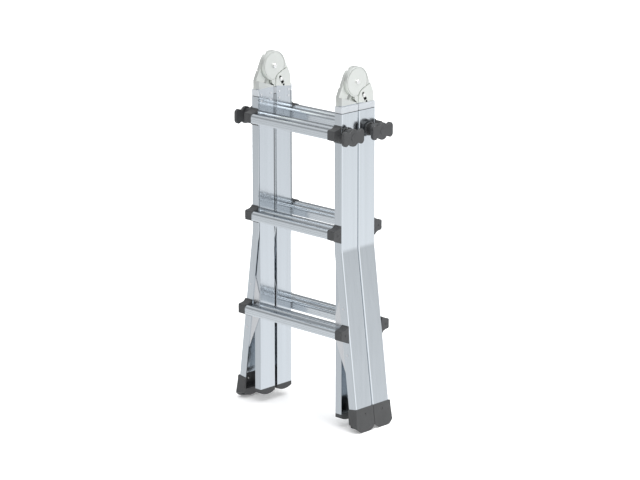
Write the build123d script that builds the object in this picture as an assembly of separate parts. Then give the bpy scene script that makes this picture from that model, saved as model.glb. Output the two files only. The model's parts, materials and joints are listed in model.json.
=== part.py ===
from build123d import *
import math
import os

# A folding ladder of two equal halves hinged together at the top. Each half is an inner
# section that slides up out of a flared outer section. X runs along the rungs, Y is the
# depth with the hinge axis on Y = 0, and Z = 0 is the floor under the four boots.

# ---- Driving dimensions, mm ----
rung_pitch = 280.0
rungs_per_section = 3
inner_clear_width = 296.0
rail_thickness = 23.0
rail_depth = 58.0
stile_wall = 2.0
running_fit = 0.1
liner = 1.9
half_gap = 0.75
hinge_height = 977.0
stile_top = 897.0
flare_start = 512.0
flare_slope = 0.1272
flare_bend = 70.0
rung_height = 26.0
rung_depth = 28.0
rung_shoulder = 8.0
lock_radius = 6.0
lock_stroke = 9.0
arm_radius = 42.0
axle_radius = 6.5
swing_fit = 0.05
bolt_radius = 4.5
bolt_stroke = 6.5

# ---- Inner rail, as box tube, measured from the centre planes ----
rail_x0 = inner_clear_width / 2
rail_x1 = rail_x0 + rail_thickness
rail_mid = (rail_x0 + rail_x1) / 2
side_gap = stile_wall + liner + running_fit
rail_y0 = half_gap + side_gap
rail_y1 = rail_y0 + rail_depth
rail_bottom = 40.0
rail_top_front = hinge_height - 36.0
rail_top_back = hinge_height - 56.0

# ---- Outer stile, a C channel that wraps the inner rail ----
web_x = rail_x1 + side_gap
stile_width = web_x - rail_x0
stile_y0 = half_gap
stile_y1 = rail_y1 + side_gap
stile_bottom = 12.0
collar_height = 19.0
boot_top = 66.0
boot_reach = 2.5
sole_radius = 47.0
sole_tilt = 0.27
edge_round = 4.5

# ---- Rungs and lock axis ----
rung_heights = [rung_pitch * (n + 1) for n in range(rungs_per_section)]
tread_y0 = stile_y1 + 0.75
tread_y1 = tread_y0 + rung_depth
tread_mid = (tread_y0 + tread_y1) / 2
inner_rung_mid = rail_y1 - stile_wall - rung_depth / 2 - 0.25
bracket_width = 26.0
bracket_base = 49.0
tube_wall = 1.8
lock_y = inner_rung_mid + 2.5
lock_z = rung_heights[-1]
bush_radius = 8.8

# ---- Hinge, a lap joint of two plates side by side within the rail's thickness ----
lap_gap = 0.3
face_step = 1.6
half_rail = rail_thickness / 2
bolt_angle = -59.5
bolt_rest = arm_radius + bolt_radius + 1.5
bolt_in = bolt_rest - bolt_stroke
slot_end = 57.4
cheek_bottom = hinge_height - 58.0
cheek_fall = 8.0
locked_angles = [0.0, 35.0, 180.0]


def block(x0, x1, y0, y1, z0, z1):
    """A box between two corners."""
    return Pos((x0 + x1) / 2, (y0 + y1) / 2, (z0 + z1) / 2) * Box(x1 - x0, y1 - y0, z1 - z0)


def rod_x(radius, x0, x1, y, z):
    """A cylinder along X."""
    return Pos((x0 + x1) / 2, y, z) * Rot(0, 90, 0) * Cylinder(radius, x1 - x0)


def rod_y(radius, y0, y1, x, z):
    """A cylinder along Y."""
    return Pos(x, (y0 + y1) / 2, z) * Rot(90, 0, 0) * Cylinder(radius, y1 - y0)


def prism_x(points, x0, x1):
    """An outline of (y, z) points, extruded along X."""
    outline = Polyline(*[(x0, y, z) for y, z in points], close=True)
    return extrude(make_face(outline), amount=x1 - x0, dir=(1, 0, 0))


def prism_y(points, y0, y1):
    """An outline of (x, z) points, extruded along Y."""
    outline = Polyline(*[(x, y0, z) for x, z in points], close=True)
    return extrude(make_face(outline), amount=y1 - y0, dir=(0, 1, 0))


def both_sides(shape):
    """The shape and its mirror image on the other side of the ladder."""
    return [shape, mirror(shape, about=Plane.YZ)]


def web_at(z):
    """X of the stile's outer face at a height: straight above, flared out below."""
    return web_x + flare_slope * max(0.0, flare_start - z)


# ---- Outer section ----


def stile_outline(inset):
    """The stile seen along Y, from its open edge to its web less an inset."""
    top = stile_top
    return [
        (web_x - stile_width, top),
        (web_x - inset, top),
        (web_x - inset, flare_start),
        (web_at(stile_bottom) - inset, stile_bottom),
        (web_at(stile_bottom) - stile_width, stile_bottom),
        (web_x - stile_width, flare_start),
    ]


def bent(solid):
    """Round off the bend where the stile starts to flare."""
    bends = [e for e in solid.edges().filter_by(Axis.Y) if abs(e.center().Z - flare_start) < 1]
    return fillet(bends, flare_bend)


def stile():
    """C channel, open towards the rungs, with the hole for the lock pin in its web."""
    body = bent(prism_y(stile_outline(0), stile_y0, stile_y1))
    outer_edges = [e for e in body.edges().filter_by(Axis.Z) if e.center().X > web_x - 1]
    body = fillet(outer_edges, edge_round) if outer_edges else body
    hollow = bent(prism_y(stile_outline(stile_wall), stile_y0 + stile_wall, stile_y1 - stile_wall))
    longer = Pos(-6, 0, 0) * hollow
    body = body - hollow - longer
    return body - rod_x(lock_radius + 0.4, rail_x1, web_x + 5, lock_y, lock_z)


def guide_sleeve():
    """Liner in the stile's mouth, with a collar standing on the stile's end."""
    groove = 1.8
    tongue = block(rail_x0, web_x - stile_wall, stile_y0 + stile_wall, stile_y1 - stile_wall,
                   stile_top - 33, stile_top)
    collar = block(rail_x0, web_x, stile_y0, stile_y1, stile_top + groove, stile_top + collar_height)
    rims = collar.edges().filter_by(Axis.Z).sort_by(Axis.X)[-2:]
    collar = fillet(rims, edge_round)
    waist = block(rail_x0 + 1.5, web_x - 1.5, stile_y0 + 1.5, stile_y1 - 1.5, stile_top,
                  stile_top + groove)
    rims = waist.edges().filter_by(Axis.Z).sort_by(Axis.X)[-2:]
    collar = collar + fillet(rims, edge_round - 1.5)
    inside = block(rail_x0 - 1, rail_x1 + running_fit, rail_y0 - running_fit,
                   rail_y1 + running_fit, stile_top - 40, stile_top + 40)
    return tongue + collar - inside


def guide_plates():
    """Two gussets that reach from the flared stile to the rail beside the lowest rung."""
    z = rung_heights[0]
    edge = web_at(z) - stile_width
    reach = rail_x0 + 2
    outline = [
        (reach, z - 23),
        (reach, z + 47),
        (web_at(z + 97) - stile_width, z + 97),
        (web_at(z + 97) - 6, z + 97),
        (web_at(z - 120) - 6, z - 120),
        (web_at(z - 120) - stile_width, z - 120),
    ]
    far = prism_y(outline, rail_y1 + running_fit, rail_y1 + running_fit + liner)
    near = prism_y(outline, rail_y0 - running_fit - liner, rail_y0 - running_fit)
    return [far, near]


def rung_solid(x0, x1, y_mid, z_mid, inset):
    """A rung's cross-section less an inset: round shoulders above, small rounds below."""
    y0, y1 = y_mid - rung_depth / 2 + inset, y_mid + rung_depth / 2 - inset
    z0, z1 = z_mid - rung_height / 2 + inset, z_mid + rung_height / 2 - inset
    solid = block(x0, x1, y0, y1, z0, z1)
    solid = fillet(solid.edges().filter_by(Axis.X).group_by(Axis.Z)[-1], rung_shoulder - inset)
    return fillet(solid.edges().filter_by(Axis.X).group_by(Axis.Z)[0], 3.0 - inset)


def ribbed(profile, x0, x1, y_mid, z_mid):
    """Cut grooves along the top, front and back of a rung."""
    top = z_mid + rung_height / 2
    for n in range(4):
        y = y_mid + (n - 1.5) * 3.6
        profile = profile - block(x0, x1, y - 0.8, y + 0.8, top - 0.9, top + 1)
    for side in (-1, 1):
        face = y_mid + side * rung_depth / 2
        for n in range(3):
            z = z_mid + (n - 1) * 5.0
            profile = profile - block(x0, x1, face - 0.6, face + 0.6, z - 0.8, z + 0.8)
    return profile


def rung(half_length, y_mid, z_mid):
    """A hollow ribbed rung."""
    x0, x1 = -half_length, half_length
    body = ribbed(rung_solid(x0, x1, y_mid, z_mid, 0), x0, x1, y_mid, z_mid)
    return body - rung_solid(x0 - 1, x1 + 1, y_mid, z_mid, tube_wall)


def bracket_x(z):
    """Where the bracket of the rung at this height starts, beside the stile's flange."""
    return web_at(z) - stile_width


def bracket_outline(x, z):
    """The bracket seen along X: a tall foot on the flange that sweeps in to the rung's height."""
    flank = [(2.5, 24), (6.5, 19.2), (13, 16.2), (tread_y1 - stile_y1, 14)]
    upper = [(x, stile_y1 + y, z + rise) for y, rise in flank]
    lower = [(x, stile_y1 + y, z - rise) for y, rise in flank]
    foot = Polyline(lower[0], (x, stile_y1, z - bracket_base / 2), (x, stile_y1, z + bracket_base / 2),
                    upper[0])
    return make_face(Spline(*upper) + Line(upper[-1], lower[-1]) + Spline(*lower) + foot)


def bracket(z):
    """End piece of an outer rung: a swept foot on the stile's flange with a spigot in the rung."""
    x0 = bracket_x(z)
    x1 = x0 + bracket_width
    shell = extrude(bracket_outline(x0, z), amount=bracket_width, dir=(1, 0, 0))
    shell = fillet(shell.edges().filter_by(Axis.X).sort_by(Axis.Y)[-2:], 4.5)
    spigot = rung_solid(x0 - 14, x0, tread_mid, z, tube_wall + 0.2)
    piece = shell + spigot - rod_x(3, x1 - 1, x1 + 1, tread_mid, z)
    for dz in (-17, 17):
        piece = piece - rod_y(2, stile_y1 - 1, stile_y1 + 6, x0 + bracket_width / 2, z + dz)
    return piece


def bracket_rivets(z):
    """Two rivets from inside the flange, and the guide plate if there is one, into a bracket."""
    x = bracket_x(z) + bracket_width / 2
    inside = stile_y1 - stile_wall - (liner if z == rung_heights[0] else 0)
    pieces = []
    for dz in (-17, 17):
        shank = rod_y(2, inside, stile_y1 + 6, x, z + dz)
        head = rod_y(3.6, inside - 1, inside, x, z + dz)
        pieces.append(shank + head)
    return pieces


def rivet_holes(z):
    """The holes in the flange for one bracket's rivets."""
    x = bracket_x(z) + bracket_width / 2
    return [rod_y(2, rail_y1 - 1, stile_y1 + 1, x, z + dz) for dz in (-17, 17)]


def plate_rivet_points():
    """(x, z) of the rivets that hold each guide plate to its flange."""
    return [(web_at(z) - 14, z) for z in (rung_heights[0] + 70, rung_heights[0] - 60)]


def plate_rivets():
    """Rivets through flange and guide plate, with a low head on the outside."""
    pieces = []
    for x, z in plate_rivet_points():
        far = rod_y(2, rail_y1 + running_fit, stile_y1, x, z) + rod_y(3.6, stile_y1, stile_y1 + 1, x, z)
        near = rod_y(3.6, stile_y0, rail_y0 - running_fit, x, z)
        pieces += [far, near]
    return pieces


def along_sole(face):
    """Extrude a shape drawn across the sole, so that it falls towards the outer side."""
    return extrude(face, amount=150, dir=(1, 0, -sole_tilt))


def sole_line():
    """Y of the sole's middle, Y of its toe, and how far the shape's start lies above the ground."""
    toe = stile_y1 + boot_reach + 2.5
    lift = sole_tilt * (web_at(0) + boot_reach - 9 - (rail_x1 - 30))
    return (half_gap + toe) / 2, toe, lift


def boot_side():
    """The boot seen along X: upright towards the other half, flared outwards, a curved sole."""
    y0, y1 = half_gap, stile_y1 + boot_reach
    middle, toe, lift = sole_line()
    rise = lift + sole_radius - math.sqrt(sole_radius ** 2 - (toe - middle) ** 2)
    x, top = rail_x1 - 30, boot_top + 40
    walls = Polyline((x, y0, rise), (x, y0, top), (x, y1, top), (x, y1, boot_top + 10), (x, toe, rise))
    sole = ThreePointArc((x, toe, rise), (x, middle, lift), (x, y0, rise))
    return along_sole(make_face(walls + sole))


def sole_groove(reach):
    """A groove along the sole, at a distance from its middle."""
    middle, toe, lift = sole_line()
    rise = lift + sole_radius - math.sqrt(sole_radius ** 2 - reach ** 2)
    y, x = middle + reach, rail_x1 - 30
    return along_sole(make_face(Polyline((x, y - 0.9, rise - 2), (x, y + 0.9, rise - 2),
                                         (x, y + 0.9, rise + 2), (x, y - 0.9, rise + 2), close=True)))


def boot():
    """Moulded foot around the stile's end, open to the channel, with a curved, grooved sole."""
    inner, outer = stile_width + 1.5, boot_reach
    slab = prism_y([
        (web_at(boot_top) - inner, boot_top - 2),
        (web_at(boot_top) + outer, boot_top + 2.5),
        (web_at(0) + outer, 0),
        (web_at(0) - inner, 0),
    ], half_gap, stile_y1 + 10)
    lower = slab.edges().filter_by(Axis.Y).group_by(Axis.Z)[0].sort_by(Axis.X)
    slab = fillet(lower[0], 16)
    lower = slab.edges().filter_by(Axis.Y).group_by(Axis.Z)[0].sort_by(Axis.X)
    slab = fillet(lower[-1], 4)
    y_in0, y_in1 = stile_y0 + stile_wall, stile_y1 - stile_wall
    mouth = prism_y([
        (rail_x1, 30),
        (web_at(30) - stile_wall, 30),
        (web_at(boot_top + 9) - stile_wall, boot_top + 9),
        (rail_x1, boot_top + 9),
    ], y_in0, y_in1)
    body = (slab & boot_side()) - mouth
    for n in range(3):
        for side in (-1, 1):
            body = body - sole_groove(side * (6 + n * 7.5))
    body = body - block(150, 260, 0, 80, -5, 0.25)
    return Pos(0, 0, -0.25) * body - stile() - boot_screw_hole(2.5)


def boot_screw_hole(radius):
    """Cylinder across the boot's outer wall and the stile's web."""
    z = boot_top - 14
    return rod_x(radius, web_at(z) - 8, web_at(z) + 8, (stile_y0 + stile_y1) / 2, z)


def boot_screw():
    """Screw through boot and web, with its head sunk in the boot."""
    z = boot_top - 14
    y = (stile_y0 + stile_y1) / 2
    return rod_x(2.5, web_at(z) - 6, web_at(z) + 0.5, y, z)


# ---- Lock knobs on the outer section ----

housing_end = web_x + 18.0
wing_x0 = housing_end + lock_stroke + 1.5
wing_x1 = wing_x0 + 10.0
pin_collar_x = web_x + 0.5 + lock_stroke
grip_offset = 8.5
grip_drop = 3.0


def lock_housing():
    """Spring cup on the stile's web, with a round foot."""
    cup = rod_x(14.5, web_x, housing_end, lock_y, lock_z)
    foot = rod_x(19, web_x, web_x + 3, lock_y, lock_z)
    foot = foot + rod_x(18, web_x, web_x + 3, lock_y - 7, lock_z)
    foot = foot + block(web_x, web_x + 3, lock_y - 7, lock_y, lock_z - 18, lock_z + 18)
    cavity = rod_x(10.5, web_x, housing_end - 3, lock_y, lock_z)
    bore = rod_x(lock_radius + 0.3, web_x - 1, housing_end + 1, lock_y, lock_z)
    body = cup + foot - cavity - bore
    for x, y, z in housing_rivet_points():
        body = body - rod_x(1.5, web_x - 1, web_x + 4, y, z)
    return body


def housing_rivet_points():
    """Two rivets through the foot of the housing."""
    return [(web_x, lock_y, lock_z + dz) for dz in (-16.6, 16.6)]


def housing_rivets():
    """Rivets from the housing's foot into the web, flush inside the channel."""
    pieces = []
    for x, y, z in housing_rivet_points():
        pieces.append(rod_x(1.5, x - stile_wall, x + 3, y, z) + rod_x(2.1, x + 3, x + 3.8, y, z))
    return pieces


def lock_spring():
    """Short coil between the housing's end and the pin's collar, drawn at its tightest."""
    wire = 0.6
    x0 = pin_collar_x + 2
    length = housing_end - 3 - x0
    path = Helix(pitch=(length - 2 * wire) / 2 - 0.05, height=length - 2 * wire - 0.1, radius=8.4)
    coil = sweep(Plane(origin=path @ 0, z_dir=path % 0) * Circle(wire), path=path, is_frenet=True)
    return Pos(x0 + wire + 0.05, lock_y, lock_z) * Rot(0, 90, 0) * coil


def lock_pin():
    """Steel pin with a collar, its tip just clear of the inner rail while it is drawn back."""
    tip = rail_x1 + 0.6
    body = rod_x(lock_radius, tip, wing_x1 - 3, lock_y, lock_z)
    body = chamfer(body.edges().sort_by(Axis.X)[0], 1.2)
    return body + rod_x(9.8, pin_collar_x, pin_collar_x + 2, lock_y, lock_z)


def wing_outline():
    """Twist handle seen along X: a hub bulge, two waists and two end lobes, set off the pin."""
    half = [(40, 9), (38, 16), (31, 20.8), (24.5, 19), (18, 16), (8, 22.5)]
    points = half + [(0, 24.3)] + [(-y, z) for y, z in reversed(half)]
    points = [(y + grip_offset, z) for y, z in points]
    upper = Spline(*[(y, z - grip_drop) for y, z in points])
    lower = Spline(*[(y, -z - grip_drop) for y, z in points])
    ends = [Line((y, -z - grip_drop), (y, z - grip_drop)) for y, z in (points[0], points[-1])]
    return make_face(upper + lower + ends[0] + ends[1])


def lock_handle():
    """Twist handle with a skirt over the housing. It turns on the pin's end and pulls it."""
    plane = Plane(origin=(wing_x0, lock_y, lock_z), x_dir=(0, 1, 0), z_dir=(1, 0, 0))
    wing = extrude(plane * wing_outline(), amount=wing_x1 - wing_x0)
    rim = wing.faces().sort_by(Axis.X)[-1].edges()
    wing = fillet(rim, 2.5)
    skirt = rod_x(17.5, housing_end - 5, wing_x0, lock_y, lock_z)
    skirt = skirt - rod_x(15.0, housing_end - 6, wing_x0 - 1.5, lock_y, lock_z)
    cap = rod_x(11, wing_x1, wing_x1 + 0.8, lock_y + grip_offset, lock_z - grip_drop)
    hole = rod_x(lock_radius + swing_fit, wing_x0 - 3, wing_x1 - 3 + swing_fit, lock_y, lock_z)
    return wing + skirt + cap - hole


# ---- Inner section ----


def slanted_top(y0, y1, x0, x1, drop=0.0, base=600.0):
    """Everything of a rail's footprint below its slanted top, down to a base height."""
    slope = (rail_top_front - rail_top_back) / rail_depth
    return prism_x([
        (y0, base),
        (y1, base),
        (y1, rail_top_back + slope * (y1 - rail_y0) - drop),
        (y0, rail_top_back + slope * (y0 - rail_y0) - drop),
    ], x0, x1)


def rail():
    """Box tube with windows for the rungs inside and lock holes outside."""
    w = stile_wall
    outer = slanted_top(rail_y0, rail_y1, rail_x0, rail_x1, base=rail_bottom)
    outer = fillet(outer.edges().filter_by(Axis.Z), 1.2)
    inner = block(rail_x0 + w, rail_x1 - w, rail_y0 + w, rail_y1 - w, 0, hinge_height)
    body = outer - inner
    for z in rung_heights:
        body = body - rung_solid(rail_x0 - 1, rail_x0 + w + 1, inner_rung_mid, z, 0)
        body = body - rod_x(lock_radius + 0.5, rail_x1 - w - 1, rail_x1 + 1, lock_y, z)
    for y, z in arm_rivet_points():
        body = body - rod_x(2.4, rail_x0 - 1, rail_x1 + 1, y, z)
    return body


def inner_rung(z):
    """Rung of the inner section, through the rails' inner walls."""
    return rung(rail_x1 - stile_wall, inner_rung_mid, z)


def lock_bush(z):
    """Steel tube in a rung's end that takes the lock pin."""
    x1 = rail_x1 - stile_wall
    tube = rod_x(bush_radius, x1 - 22, x1, lock_y, z)
    return tube - rod_x(lock_radius + 0.5, x1 - 23, x1 + 1, lock_y, z)


def rail_cap():
    """Plug in the rail's lower end, with a curved underside."""
    x0, x1 = rail_x0 + 0.3, rail_x1 - 0.3
    y0, y1 = rail_y0 + 0.3, rail_y1 - 0.3
    shallow, deep = rail_bottom - 11, rail_bottom - 18.5
    sides = Polyline((x0, y1, shallow), (x0, y1, rail_bottom), (x0, y0, rail_bottom), (x0, y0, shallow))
    under = ThreePointArc((x0, y0, shallow), (x0, (y0 + y1) / 2, deep), (x0, y1, shallow))
    foot = extrude(make_face(sides + under), amount=x1 - x0, dir=(1, 0, 0))
    inset = stile_wall + 0.1
    plug = block(rail_x0 + inset, rail_x1 - inset, rail_y0 + inset, rail_y1 - inset,
                 rail_bottom, rail_bottom + 25)
    return foot + plug


# ---- Hinge ----


def tangent_point():
    """Where the arm's straight back edge leaves its round head."""
    y, z = rail_y1, rail_top_front - hinge_height
    reach = math.hypot(y, z)
    angle = math.atan2(z, y) + math.acos(arm_radius / reach)
    return arm_radius * math.cos(angle), arm_radius * math.sin(angle)


def arm_rivet_points():
    """(y, z) of the rivets that hold an arm in its rail, in two columns."""
    columns = (rail_y0 + 12, rail_y1 - 9)
    return [(y, hinge_height - 75 - row * 18) for y in columns for row in range(2)]


def face_recess(x0, x1):
    """The round face's side of the line where it steps down from the cheek."""
    waist = [(70, -4), (52, -10.3), (39, -14.8), (30, -18.6), (23, -21.7), (16.5, -25), (12.4, -27.6),
             (9, -31), (6.6, -35), (5, -39.5), (rail_y0 - 0.5, -44), (rail_y0 - 0.5, -90)]
    around = [(-80, -90), (-80, 80), (70, 80)]
    return prism_x([(y, hinge_height + z) for y, z in waist + around], x0, x1)


def cheek_seat(rail_centre):
    """Cut in a rear rail's +X side where the arm's cheek comes down flush with its face."""
    return prism_x([
        (rail_y0 - 1, cheek_bottom + cheek_fall / rail_depth),
        (rail_y1 + 1, cheek_bottom - cheek_fall - cheek_fall / rail_depth),
        (rail_y1 + 1, hinge_height),
        (rail_y0 - 1, hinge_height),
    ], rail_centre + lap_gap, rail_centre + half_rail + 1)


def hinge_arm(rail_centre):
    """Arm for the rear half: head and neck on the +X half of the lap, tenon in the rail."""
    h = hinge_height
    ty, tz = tangent_point()
    near, far = rail_centre + lap_gap, rail_centre + half_rail
    neck = prism_x([
        (rail_y0, cheek_bottom),
        (rail_y1, cheek_bottom - cheek_fall),
        (rail_y1, rail_top_front),
        (ty, h + tz),
        (0, h),
        (rail_y0, h - 30),
    ], near, far)
    head = rod_x(arm_radius, near, far, 0, h)
    plate = head + neck
    floor = far - face_step
    plate = plate - face_recess(floor, far + 1)
    plate = plate - (face_recess(floor - 3, far) - Pos(0, -1.5, 1.5) * face_recess(floor - 4, far + 1))
    ring = rod_x(39.4, floor - 2, far, 0, h) - rod_x(37.8, floor - 3, far + 1, 0, h)
    plate = plate - (ring & face_recess(far - 7, far + 1))
    inset = stile_wall + 0.1
    tenon = slanted_top(rail_y0 + inset, rail_y1 - inset, rail_centre - half_rail + inset,
                        rail_centre + half_rail - inset, base=h - 118)
    arm = plate + tenon
    arm = arm - rod_x(axle_radius + swing_fit, rail_centre - 20, rail_centre + 20, 0, h)
    arm = arm - bolt_slot(rail_centre)
    arm = arm - rod_x(2.6, far - 6, far + 1, *on_ray(68, bolt_angle))
    for y, z in arm_rivet_points():
        arm = arm - rod_x(2.4, rail_centre - 20, rail_centre + 20, y, z)
    return arm


def on_ray(distance, angle):
    """(y, z) at a distance from the hinge axis, along a ray at an angle."""
    a = math.radians(angle)
    return distance * math.cos(a), hinge_height + distance * math.sin(a)


def bolt_slot(rail_centre):
    """Radial slot in which the lock bolt slides."""
    x0, x1 = rail_centre - 20, rail_centre + 20
    r = bolt_radius + 0.15
    near, far = bolt_in - 0.3, slot_end
    middle = on_ray((near + far) / 2, bolt_angle)
    bar = Pos(rail_centre, *middle) * Rot(bolt_angle, 0, 0) * Box(x1 - x0, far - near, 2 * r)
    ends = [rod_x(r, x0, x1, *on_ray(d, bolt_angle)) for d in (near, far)]
    return bar + ends[0] + ends[1]


def notches(rail_centre):
    """Notches in the other arm's head, one for each locked position of the ladder."""
    x0, x1 = rail_centre - 20, rail_centre + 20
    cuts = []
    for angle in locked_angles:
        ray = bolt_angle + angle
        middle = on_ray(bolt_in + 10, ray)
        r = bolt_radius + 0.3
        bar = Pos(rail_centre, *middle) * Rot(ray, 0, 0) * Box(x1 - x0, 20, 2 * r)
        cuts += [bar, rod_x(r, x0, x1, *on_ray(bolt_in, ray))]
    return cuts


def hinge_bolt(rail_centre):
    """Lock bolt across both plates, with a head on each side."""
    y, z = on_ray(bolt_rest, bolt_angle)
    c = rail_centre
    body = rod_x(bolt_radius, c - half_rail - 1, c + half_rail + 1, y, z)
    near = rod_x(5.3, c + half_rail + 0.2, c + half_rail + 3, y, z)
    far = rod_x(5.3, c - half_rail - 3, c - half_rail - 0.2, y, z)
    body = body + near + far
    rims = body.edges().filter_by(GeomType.CIRCLE).sort_by(Axis.X)
    return chamfer([rims[0], rims[-1]], 0.8)


def axle(rail_centre):
    """Hinge axle with chamfered ends that stand proud of both arms."""
    reach = half_rail - face_step + 5
    body = rod_x(axle_radius, rail_centre - reach, rail_centre + reach, 0, hinge_height)
    rims = body.edges().filter_by(GeomType.CIRCLE).sort_by(Axis.X)
    return chamfer([rims[0], rims[-1]], 1.2)


def washer(rail_centre):
    """Thin washer between the two arms."""
    ring = rod_x(19, rail_centre - lap_gap, rail_centre + lap_gap - swing_fit, 0, hinge_height)
    return ring - rod_x(axle_radius, rail_centre - 2, rail_centre + 2, 0, hinge_height)


def arm_rivets(rail_centre):
    """Rivets across rail and tenon, flush outside and with a low head on the rung side."""
    inward = -1 if rail_centre > 0 else 1
    x = rail_centre + inward * half_rail
    pieces = []
    for y, z in arm_rivet_points():
        shank = rod_x(2.4, rail_centre - half_rail, rail_centre + half_rail, y, z)
        head = rod_x(3.6, min(x, x + inward), max(x, x + inward), y, z)
        pieces.append(shank + head)
    return pieces


# ---- Assembly ----


def turned(shape):
    """The same piece on the front half, which is the rear half turned about Z."""
    return Rot(0, 0, 180) * shape


def stile_with_holes():
    """Stile drilled for the rivets of its brackets, plates, housing and boot."""
    body = stile()
    for z in rung_heights:
        for hole in rivet_holes(z):
            body = body - hole
    for x, z in plate_rivet_points():
        body = body - rod_y(2, stile_y1 - 5, stile_y1 + 5, x, z)
        body = body - rod_y(3.6, stile_y0 - 5, stile_y0 + 5, x, z)
    for x, y, z in housing_rivet_points():
        body = body - rod_x(1.5, x - 5, x + 5, y, z)
    return body - boot_screw_hole(2.5)


def drilled_plates():
    """Guide plates with their rivet holes."""
    plates = []
    for plate, radius in zip(guide_plates(), (2.0, 3.6)):
        for x, z in plate_rivet_points():
            plate = plate - rod_y(radius, 0, stile_y1 + 5, x, z)
        for hole in rivet_holes(rung_heights[0]):
            plate = plate - hole
        plates.append(plate)
    return plates


def outer_pieces():
    """Every piece of an outer section in the rear half's place, by name."""
    right, left = both_sides(stile_with_holes())
    rivets = [r for z in rung_heights for r in bracket_rivets(z)]
    rivets += plate_rivets() + housing_rivets()
    names = ("low", "middle", "top")
    pieces = {"outer_stile_+": right, "outer_stile_-": left}
    for name, z in zip(names, rung_heights):
        pieces["outer_" + name + "_rung"] = rung(bracket_x(z), tread_mid, z)
    pieces["rung_brackets"] = [s for z in rung_heights for s in both_sides(bracket(z))]
    pieces["guide_sleeves"] = both_sides(guide_sleeve())
    pieces["guide_plates"] = [s for plate in drilled_plates() for s in both_sides(plate)]
    pieces["boots"] = both_sides(boot())
    pieces["boot_screws"] = both_sides(boot_screw())
    pieces["lock_housings"] = both_sides(lock_housing())
    pieces["lock_springs"] = both_sides(lock_spring())
    pieces["outer_rivets"] = [s for rivet in rivets for s in both_sides(rivet)]
    for name, maker in (("handle", lock_handle), ("pin", lock_pin)):
        right, left = both_sides(maker())
        pieces["lock_" + name + "_+"] = right
        pieces["lock_" + name + "_-"] = left
    return pieces


def inner_pieces():
    """Every piece of an inner section in the rear half's place, by name."""
    right, left = both_sides(rail())
    right = right - cheek_seat(rail_mid)
    left = left - cheek_seat(-rail_mid)
    pieces = {"inner_rail_+": right, "inner_rail_-": left}
    for name, z in zip(("low", "middle", "top"), rung_heights):
        pieces["inner_" + name + "_rung"] = inner_rung(z)
    pieces["lock_bushes"] = [s for z in rung_heights for s in both_sides(lock_bush(z))]
    pieces["rail_caps"] = both_sides(rail_cap())
    pieces["hinge_arm_+"] = hinge_arm(rail_mid)
    pieces["hinge_arm_-"] = hinge_arm(-rail_mid)
    pieces["arm_rivets"] = arm_rivets(rail_mid) + arm_rivets(-rail_mid)
    return pieces


def side_name(key, is_rear):
    """Turn a +X or -X mark into right or left, which swap on the turned front half."""
    if key.endswith("_+"):
        return key[:-2] + ("_right" if is_rear else "_left")
    if key.endswith("_-"):
        return key[:-2] + ("_left" if is_rear else "_right")
    return key


def add_half(nodes, pieces, half):
    """Put one half's pieces in the node list under their full names."""
    is_rear = half == "rear"
    for key, shape in pieces.items():
        group = shape if isinstance(shape, list) else [shape]
        group = group if is_rear else [turned(s) for s in group]
        nodes[half + "_" + side_name(key, is_rear)] = group


def notched(arm, rail_centre):
    """A front arm with the lock notches cut in its head."""
    for cut in notches(rail_centre):
        arm = arm - cut
    return arm


nodes = {}
outer, inner = outer_pieces(), inner_pieces()
for half in ("front", "rear"):
    add_half(nodes, outer, half)
    add_half(nodes, inner, half)
nodes["front_hinge_arm_right"] = [notched(nodes["front_hinge_arm_right"][0], rail_mid)]
nodes["front_hinge_arm_left"] = [notched(nodes["front_hinge_arm_left"][0], -rail_mid)]
nodes["hinge_axles"] = [axle(rail_mid), axle(-rail_mid)]
nodes["hinge_washers"] = [washer(rail_mid), washer(-rail_mid)]
nodes["hinge_bolt_right"] = [hinge_bolt(rail_mid)]
nodes["hinge_bolt_left"] = [hinge_bolt(-rail_mid)]

os.makedirs("parts", exist_ok=True)
for name, group in nodes.items():
    solids = [solid for shape in group for solid in shape.solids()]
    export_step(Compound(children=solids), "parts/" + name + ".step")
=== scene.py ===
"""Looks of the folding multi position ladder: materials, fine mesh details, light and camera."""
import json
import math

import bmesh
import bpy
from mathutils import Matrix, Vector


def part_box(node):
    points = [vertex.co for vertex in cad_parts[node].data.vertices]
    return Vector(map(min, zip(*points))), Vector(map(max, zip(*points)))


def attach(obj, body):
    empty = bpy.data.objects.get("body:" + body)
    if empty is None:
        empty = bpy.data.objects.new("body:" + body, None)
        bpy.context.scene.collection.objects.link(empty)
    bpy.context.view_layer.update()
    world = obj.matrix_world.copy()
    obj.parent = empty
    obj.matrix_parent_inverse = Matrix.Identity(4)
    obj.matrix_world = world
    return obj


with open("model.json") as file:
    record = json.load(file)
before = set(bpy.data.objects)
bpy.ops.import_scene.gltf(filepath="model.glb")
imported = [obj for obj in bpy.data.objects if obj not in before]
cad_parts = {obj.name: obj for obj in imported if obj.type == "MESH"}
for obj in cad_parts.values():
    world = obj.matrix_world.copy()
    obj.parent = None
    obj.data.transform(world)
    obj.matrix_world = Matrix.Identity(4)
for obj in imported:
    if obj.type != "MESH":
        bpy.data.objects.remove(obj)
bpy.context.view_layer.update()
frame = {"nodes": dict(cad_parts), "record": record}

nodes = frame["nodes"]
scene = bpy.context.scene

UP = (0, 0, 1)


def toward(azimuth, elevation):
    """Unit vector from the ladder to a place, by its angles in degrees."""
    a, e = math.radians(azimuth), math.radians(elevation)
    return Vector((math.sin(a) * math.cos(e), -math.cos(a) * math.cos(e), math.sin(e)))


def place_at(name, data, direction):
    """A new camera or light that looks back along a direction."""
    obj = bpy.data.objects.new(name, data)
    obj.rotation_euler = (-direction).to_track_quat("-Z", "Y").to_euler()
    scene.collection.objects.link(obj)
    return obj


def mesh_object(name, points, faces):
    """A new object with a mesh of points and faces."""
    mesh = bpy.data.meshes.new(name)
    mesh.from_pydata(points, [], faces)
    obj = bpy.data.objects.new(name, mesh)
    scene.collection.objects.link(obj)
    return obj


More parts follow.
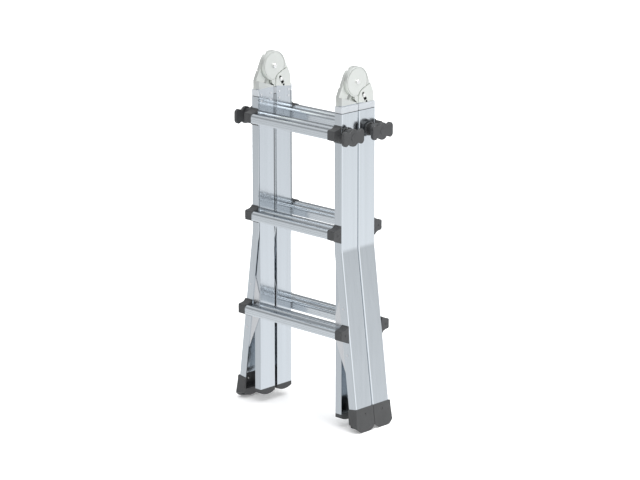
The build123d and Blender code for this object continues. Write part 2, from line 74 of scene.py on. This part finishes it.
# ---- Camera: degrees, metres, and the lens in mm on a 36 mm sensor ----
CAMERA_AZIMUTH = 44.19
CAMERA_ELEVATION = 15.07
CAMERA_DISTANCE = 7.728
CAMERA_LENS = 155.2
SENSOR_WIDTH = 36
VIEW_END = 300
AIM_RIGHT = 0.0198
AIM_HEIGHT = 0.5004


def add_camera():
    """Camera on the side of the front half, to the right and a little above."""
    back = toward(CAMERA_AZIMUTH, CAMERA_ELEVATION)
    data = bpy.data.cameras.new("camera")
    data.lens = CAMERA_LENS
    data.sensor_width = SENSOR_WIDTH
    data.clip_end = VIEW_END
    camera = place_at("camera", data, back)
    azimuth = math.radians(CAMERA_AZIMUTH)
    right = Vector((math.cos(azimuth), math.sin(azimuth), 0))
    aim = right * AIM_RIGHT + Vector((0, 0, AIM_HEIGHT))
    camera.location = aim + back * CAMERA_DISTANCE
    scene.camera = camera


# ---- Node trees ----


class Nodes:
    """A node tree and short ways to add to it; positions come from one texture coordinate."""

    def __init__(self, tree, coordinate):
        self.tree = tree
        self.coords = tree.nodes.new("ShaderNodeTexCoord").outputs[coordinate]

    def stretched(self, scale):
        """Coordinates times a scale for each axis."""
        node = self.tree.nodes.new("ShaderNodeMapping")
        node.inputs["Scale"].default_value = scale
        self.tree.links.new(self.coords, node.inputs["Vector"])
        return node.outputs["Vector"]

    def noise(self, scale, detail=2.0, roughness=0.5):
        """Noise from 0 to 1, with so many waves to the metre along each axis."""
        node = self.tree.nodes.new("ShaderNodeTexNoise")
        node.inputs["Scale"].default_value = 1.0
        node.inputs["Detail"].default_value = detail
        node.inputs["Roughness"].default_value = roughness
        self.tree.links.new(self.stretched(scale), node.inputs["Vector"])
        return node.outputs["Fac"]

    def ranged(self, value, low, high, out_low, out_high):
        """The value moved from one range to another, and held inside it."""
        node = self.tree.nodes.new("ShaderNodeMapRange")
        self.tree.links.new(value, node.inputs["Value"])
        ends = {"From Min": low, "From Max": high, "To Min": out_low, "To Max": out_high}
        for socket, number in ends.items():
            node.inputs[socket].default_value = number
        return node.outputs["Result"]

    def math(self, operation, a, b=0.0):
        """A sum on values, each a number or another node's output."""
        node = self.tree.nodes.new("ShaderNodeMath")
        node.operation = operation
        for socket, value in zip(node.inputs, (a, b)):
            if isinstance(value, (int, float)):
                socket.default_value = value
            else:
                self.tree.links.new(value, socket)
        return node.outputs[0]

    def mixed(self, factor, first, second):
        """A colour between two, by a factor; each is a colour or another node's output."""
        node = self.tree.nodes.new("ShaderNodeMix")
        node.data_type = "RGBA"
        self.tree.links.new(factor, node.inputs["Factor"])
        for socket, color in ((node.inputs[6], first), (node.inputs[7], second)):
            if isinstance(color, tuple):
                socket.default_value = (*color, 1)
            else:
                self.tree.links.new(color, socket)
        return node.outputs[2]

    def along(self, axis):
        """How far a position lies along an axis through the origin."""
        node = self.tree.nodes.new("ShaderNodeVectorMath")
        node.operation = "DOT_PRODUCT"
        self.tree.links.new(self.coords, node.inputs[0])
        node.inputs[1].default_value = axis
        return node.outputs["Value"]

    def distance(self, value, middle):
        """How far a value lies from a middle, on either side."""
        return self.math("ABSOLUTE", self.math("SUBTRACT", value, middle))

    def near(self, value, middle, reach):
        """1 where a value lies within a reach of a middle, otherwise 0."""
        return self.math("LESS_THAN", self.distance(value, middle), reach)


# Noise lies mostly between these two values.
NOISE_LOW, NOISE_HIGH = 0.3, 0.7


class Shader(Nodes):
    """A material's node tree, with its Principled shader."""

    def __init__(self, name, color, roughness, metallic=0.0):
        self.material = bpy.data.materials.new(name)
        self.material.use_nodes = True
        super().__init__(self.material.node_tree, "Object")
        self.bsdf = self.tree.nodes["Principled BSDF"]
        self.set("Base Color", (*color, 1))
        self.set("Roughness", roughness)
        self.set("Metallic", metallic)

    def set(self, socket, value):
        self.bsdf.inputs[socket].default_value = value

    def link(self, output, socket):
        self.tree.links.new(output, self.bsdf.inputs[socket])

    def spread(self, noise, low, high):
        """A number that noise varies from low to high."""
        return self.ranged(noise, NOISE_LOW, NOISE_HIGH, low, high)

    def bump(self, height, distance, strength):
        """Relief as deep as a distance in metres."""
        node = self.tree.nodes.new("ShaderNodeBump")
        node.inputs["Distance"].default_value = distance
        node.inputs["Strength"].default_value = strength
        self.tree.links.new(height, node.inputs["Height"])
        self.link(node.outputs["Normal"], "Normal")


def tinted(color, factor):
    """A colour made brighter or darker."""
    return tuple(c * factor for c in color)


# ---- Materials: lengths in metres, noise in waves to the metre ----
DIE_LINES, DIE_LINE_LENGTHWISE = 1400.0, 2.0
STREAKS, STREAK_LENGTHWISE = 90.0, 1.2
END_ROUGHNESS = 0.25
CASTING_GRAIN, CASTING_CLOUDS = (1600,) * 3, (30,) * 3
MOULDED_CLOUDS = (45,) * 3
PLATING_CLOUDS = (220,) * 3
SLEEVE_GRAIN = (1500,) * 3

# The lock bolt's slot in a hinge arm, and the blind hole at its outer end: distances from the
# hinge axis, half widths, and the angle in degrees from +Y.
HINGE_HEIGHT = 0.977
BOLT_ANGLE = -59.5
SLOT_MIDDLE, SLOT_REACH = 0.0578, 0.0050
HOLE_MIDDLE, HOLE_REACH = 0.068, 0.0029
# Colour of the shade painted inside the slot and the hole.
SLOT_SHADE_COLOR = (0.02, 0.021, 0.02)


def profile(name, axis, color, roughness, end=None):
    """Anodised profile: fine die lines along one axis, and faint wide streaks.

    An end has another colour: the casting's at the rails' tops, painted shade at the stiles' feet.
    It is given as its colour, the height where the profile's own finish stops, and the height where
    the end's begins.
    """
    shader = Shader(name, color, roughness, 1.0)
    fine, wide = [DIE_LINES] * 3, [STREAKS] * 3
    fine[axis], wide[axis] = DIE_LINE_LENGTHWISE, STREAK_LENGTHWISE
    lines = shader.noise(fine, 3.0, 0.6)
    gloss = shader.spread(lines, roughness - 0.05, roughness + 0.06)
    surface = shader.mixed(shader.noise(wide), tinted(color, 0.93), tinted(color, 1.05))
    if end:
        end_color, own_side, end_side = end
        ending = shader.ranged(shader.along(UP), own_side, end_side, 0, 1)
        gloss = shader.math("ADD", gloss, shader.math("MULTIPLY", ending, END_ROUGHNESS))
        # At the stiles' feet the end colour is painted shade.
        surface = shader.mixed(ending, surface, end_color)
    shader.link(gloss, "Roughness")
    shader.link(surface, "Base Color")
    shader.bump(lines, 0.00002, 0.5)
    return shader.material


def painted_slot_shade(shader):
    """1 where shade is painted: on the walls of the bolt's slot and of the blind hole beyond it,
    otherwise 0.
    """
    angle = math.radians(BOLT_ANGLE)
    cos, sin = math.cos(angle), math.sin(angle)
    out = shader.math("SUBTRACT", shader.along((0, cos, sin)), HINGE_HEIGHT * sin)
    across = shader.math("SUBTRACT", shader.along((0, -sin, cos)), HINGE_HEIGHT * cos)
    slot, hole = (
        shader.math("MULTIPLY", shader.near(out, middle, reach), shader.near(across, 0, reach))
        for middle, reach in ((SLOT_MIDDLE, SLOT_REACH), (HOLE_MIDDLE, HOLE_REACH)))
    return shader.math("MAXIMUM", slot, hole)


def casting(name, color, roughness, paint_slot_shade=False):
    """Blasted and clear-coated aluminium casting: fine even grain, with painted shade inside a
    bolt's slot.
    """
    shader = Shader(name, color, roughness, 0.85)
    grain = shader.noise(CASTING_GRAIN)
    surface = shader.mixed(shader.noise(CASTING_CLOUDS, 3.0), tinted(color, 0.95), color)
    if paint_slot_shade:
        # Painted shade inside the bolt's slot and the blind hole.
        surface = shader.mixed(painted_slot_shade(shader), surface, SLOT_SHADE_COLOR)
    shader.link(surface, "Base Color")
    shader.link(shader.spread(grain, roughness - 0.08, roughness + 0.08), "Roughness")
    shader.bump(grain, 0.00005, 0.4)
    return shader.material


def moulded(name, color, roughness, grain_size=0.0006):
    """Moulded plastic or rubber with a fine spark-eroded grain."""
    shader = Shader(name, color, roughness)
    grain = shader.noise((1 / grain_size,) * 3)
    clouds = shader.noise(MOULDED_CLOUDS, 3.0)
    shader.link(shader.mixed(clouds, tinted(color, 0.86), tinted(color, 1.14)), "Base Color")
    shader.link(shader.spread(grain, roughness - 0.08, roughness + 0.08), "Roughness")
    shader.bump(grain, 0.00006, 0.5)
    return shader.material


def steel(name, color):
    """Plated or polished steel: soft cloudy gloss."""
    shader = Shader(name, color, 0.28, 1.0)
    clouds = shader.noise(PLATING_CLOUDS, 3.0)
    shader.link(shader.spread(clouds, 0.2, 0.36), "Roughness")
    shader.link(shader.mixed(clouds, tinted(color, 0.9), color), "Base Color")
    return shader.material


def sleeve(name, collar_color, tongue_shade_color, edge):
    """Moulded guide sleeve: pale collar above the edge's height, tongue in the stile painted dark
    as shade.
    """
    shader = Shader(name, collar_color, 0.35)
    above = shader.ranged(shader.along(UP), edge - 0.0005, edge + 0.0005, 0, 1)
    # Below the edge the tongue inside the stile is painted dark as shade.
    shader.link(shader.mixed(above, tongue_shade_color, collar_color), "Base Color")
    grain = shader.noise(SLEEVE_GRAIN)
    shader.link(shader.spread(grain, 0.28, 0.42), "Roughness")
    shader.bump(grain, 0.00004, 0.4)
    return shader.material


CAST = (0.755, 0.775, 0.745)
LENGTHWISE, UPRIGHT = 0, 2
# The rails' tops beside the hinge arms look like the casting, and the stiles' feet in the boots
# are painted dark as the shade inside the boots.
RAIL_END = ((0.70, 0.72, 0.70), 0.918, 0.919)
STILE_FOOT_SHADE = ((0.05, 0.051, 0.052), 0.027, 0.026)
COLLAR_EDGE = 0.8985

rung = profile("rung_profile", LENGTHWISE, (0.68, 0.72, 0.755), 0.15)
plate = profile("guide_plate", UPRIGHT, (0.70, 0.71, 0.73), 0.25)
rail = profile("rail_profile", UPRIGHT, (0.55, 0.585, 0.62), 0.13, RAIL_END)
stile = profile("stile_profile", UPRIGHT, (0.60, 0.638, 0.672), 0.13, STILE_FOOT_SHADE)
cast = casting("hinge_casting", CAST, 0.4)
arm_cast = casting("hinge_arm_casting", CAST, 0.4, paint_slot_shade=True)
# The lock housings are dark plastic, painted darker still as the shade from the handles.
housing = moulded("housing_plastic", (0.032, 0.033, 0.034), 0.5)
dark = moulded("dark_plastic", (0.047, 0.048, 0.05), 0.5)
rubber = moulded("boot_rubber", (0.055, 0.056, 0.057), 0.62, 0.0009)
# The sleeve's tongue colour is painted shade.
collar = sleeve("guide_sleeve", (0.49, 0.515, 0.54), (0.03, 0.032, 0.036), COLLAR_EDGE)
zinc = steel("zinc_steel", (0.62, 0.62, 0.60))
polished = steel("polished_steel", (0.9, 0.9, 0.89))

# These kinds of node have a finish of their own. A kind is how a name ends, before its side.
BY_KIND = {
    "_rung": rung,
    "hinge_axles": polished,
    "hinge_bolt": polished,
    "guide_sleeves": collar,
    "inner_rail": rail,
    "outer_stile": stile,
    "hinge_arm": arm_cast,
    "lock_housings": housing,
}

# The finish of the other nodes comes from their slot in the record.
BY_SLOT = {
    "aluminium_plate": plate,
    "rivet_aluminium": plate,
    "dark_plastic": dark,
    "boot_rubber": rubber,
    "steel": zinc,
}


def of_kind(name, table):
    """What a table says about a node's kind, or None."""
    stem = name.removesuffix("_left").removesuffix("_right")
    return next((entry for kind, entry in table.items() if stem.endswith(kind)), None)


def paint(obj, material):
    """Give an object one material."""
    obj.data.materials.clear()
    obj.data.materials.append(material)


def paint_cad():
    """Material of every CAD node, from its kind, or from its slot in the record."""
    for part in frame["record"]["subparts"]:
        name = part["node"]
        paint(nodes[name], of_kind(name, BY_KIND) or BY_SLOT[part["material_slot"]])


# ---- Fine shape: metres and degrees ----

# The radius and the steps of the edges of mouldings and castings.
EDGES = {
    "rung_brackets": (0.0012, 3),
    "boots": (0.0009, 2),
    "hinge_arm": (0.0009, 2),
    "lock_housings": (0.0007, 2),
    "lock_handle": (0.0007, 2),
}
WELD_DISTANCE = 0.00001
SHARP_ANGLE = 35
FLAT_FACE_WEIGHT = 100


def add_bevel(obj, width, segments):
    """Bevel modifier, for edges sharper than its angle limit."""
    edges = obj.modifiers.new("bevel", "BEVEL")
    edges.width = width
    edges.segments = segments
    return edges


def finish_edges():
    """Break the sharp edges of mouldings and castings, and shade their curved faces smoothly."""
    for name, obj in nodes.items():
        edge = of_kind(name, EDGES)
        if not edge:
            continue
        obj.modifiers.new("weld", "WELD").merge_threshold = WELD_DISTANCE
        edges = add_bevel(obj, *edge)
        edges.limit_method = "ANGLE"
        edges.angle_limit = math.radians(SHARP_ANGLE)
        obj.data.shade_smooth()
        normals = obj.modifiers.new("normals", "WEIGHTED_NORMAL")
        normals.weight = FLAT_FACE_WEIGHT
        normals.mode = "FACE_AREA_WITH_ANGLE"


# Outline of a rear arm's web across the ladder and up, and its two faces' distances from the
# middle of the hinge.
WEB_OUTLINE = [(0.00475, 0.9168), (-0.0018, 0.9168), (-0.0026, 0.9242), (-0.0080, 0.9262),
               (-0.0105, 0.9300), (-0.0100, 0.9370), (0.00475, 0.9362)]
WEB_FACES = (0.0006, 0.0096)
WEB_EDGE = 0.0006


def add_neck_web(name, body, side, middle):
    """Thin web of the casting that closes the gap between the two arms' necks."""
    points = [(middle + side * depth, side * y, z) for depth in WEB_FACES for y, z in WEB_OUTLINE]
    count = len(WEB_OUTLINE)
    faces = [tuple(range(count)), tuple(reversed(range(count, 2 * count)))]
    faces += [(n, n + count, (n + 1) % count + count, (n + 1) % count) for n in range(count)]
    web = mesh_object(name, points, faces)
    shape = bmesh.new()
    shape.from_mesh(web.data)
    bmesh.ops.recalc_face_normals(shape, faces=shape.faces)
    shape.to_mesh(web.data)
    shape.free()
    add_bevel(web, WEB_EDGE, 2)
    paint(web, cast)
    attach(web, body)


def add_neck_webs():
    """A web on each arm: the rear arms' on the +X half of the lap, the front arms' on the other."""
    for end in ("left", "right"):
        corners = [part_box("rear_hinge_arm_" + end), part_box("front_hinge_arm_" + end)]
        middle = (min(c[0][0] for c in corners) + max(c[1][0] for c in corners)) / 2
        add_neck_web("rear_neck_web_" + end, "rear_inner", 1, middle)
        add_neck_web("front_neck_web_" + end, "front_inner", -1, middle)


# ---- Stage and light ----
FLOOR_REACH = 120
FLOOR_COLOR = (0.92, 0.92, 0.92)
FLOOR_GLOW = 0.22

# Azimuth and elevation in degrees, strength, and softness in degrees of each sun.
SUNS = {"key": (120, 70, 1.9, 60), "fill": (45, 50, 0.7, 60)}

# Brightness of the surroundings, by the height of a direction from straight down to straight up,
# their tint, and how much they brighten and dim towards the two sides of the photograph's view.
SURROUNDINGS = [(-1.0, 1.1), (-0.3, 1.1), (0.0, 0.53), (0.3, 0.45), (0.75, 0.9), (1.0, 1.15)]
ROOM_TINT = (0.97, 0.985, 1)
SIDE_BRIGHTNESS = 0.18

# A wide, low softbox: the way to it, its strength, the height of its middle, how far from that
# height it is even and how far it reaches, and the cosines of the angles from it where its light
# has ended and where it is full.
SOFTBOX_DIRECTION = (0.995, -0.1, 0)
SOFTBOX_STRENGTH = 0.95
SOFTBOX_HEIGHT, SOFTBOX_EVEN, SOFTBOX_REACH = 0.02, 0.12, 0.30
SOFTBOX_DARK, SOFTBOX_BRIGHT = 0.72, 0.94


def add_floor():
    """Wide pale floor, which glows a little so that shadows on it stay pale."""
    signs = ((-1, -1), (1, -1), (1, 1), (-1, 1))
    corners = [(x * FLOOR_REACH, y * FLOOR_REACH, 0) for x, y in signs]
    floor = mesh_object("floor", corners, [(0, 1, 2, 3)])
    shader = Shader("floor", FLOOR_COLOR, 0.9)
    shader.set("Specular IOR Level", 0.1)
    shader.set("Emission Color", (1, 1, 1, 1))
    shader.set("Emission Strength", FLOOR_GLOW)
    paint(floor, shader.material)
    floor.visible_glossy = False


def add_world():
    """Studio surroundings: a pale room, dimmer at the horizon, and a low softbox to the right."""
    world = bpy.data.worlds.new("studio")
    world.use_nodes = True
    sky = Nodes(world.node_tree, "Generated")
    tree = sky.tree
    height = sky.along(UP)

    ramp = tree.nodes.new("ShaderNodeValToRGB")
    stops = ramp.color_ramp.elements
    while len(stops) < len(SURROUNDINGS):
        stops.new(0.5)
    for stop, (level, value) in zip(stops, SURROUNDINGS):
        stop.position = (level + 1) / 2
        stop.color = (*tinted(ROOM_TINT, value), 1)
    tree.links.new(sky.ranged(height, -1, 1, 0, 1), ramp.inputs["Fac"])
    azimuth = math.radians(CAMERA_AZIMUTH)
    rightward = sky.along((math.cos(azimuth), math.sin(azimuth), 0))
    room = tree.nodes["Background"]
    tree.links.new(ramp.outputs["Color"], room.inputs["Color"])
    tree.links.new(sky.ranged(rightward, -1, 1, 1 - SIDE_BRIGHTNESS, 1 + SIDE_BRIGHTNESS),
                   room.inputs["Strength"])

    softbox = tree.nodes.new("ShaderNodeBackground")
    low = sky.ranged(sky.distance(height, SOFTBOX_HEIGHT), SOFTBOX_EVEN, SOFTBOX_REACH,
                     SOFTBOX_STRENGTH, 0)
    wide = sky.ranged(sky.along(SOFTBOX_DIRECTION), SOFTBOX_DARK, SOFTBOX_BRIGHT, 0, 1)
    tree.links.new(sky.math("MULTIPLY", low, wide), softbox.inputs["Strength"])
    both = tree.nodes.new("ShaderNodeAddShader")
    tree.links.new(room.outputs["Background"], both.inputs[0])
    tree.links.new(softbox.outputs["Background"], both.inputs[1])
    tree.links.new(both.outputs["Shader"], tree.nodes["World Output"].inputs["Surface"])
    scene.world = world


def add_sun(name, azimuth, elevation, strength, softness):
    """Broad soft light from one side, even over the whole floor."""
    data = bpy.data.lights.new(name, "SUN")
    data.energy = strength
    data.angle = math.radians(softness)
    place_at(name, data, toward(azimuth, elevation))


add_camera()
paint_cad()
finish_edges()
add_neck_webs()
add_floor()
add_world()
for sun, setting in SUNS.items():
    add_sun(sun, *setting)
scene.view_settings.view_transform = "Standard"
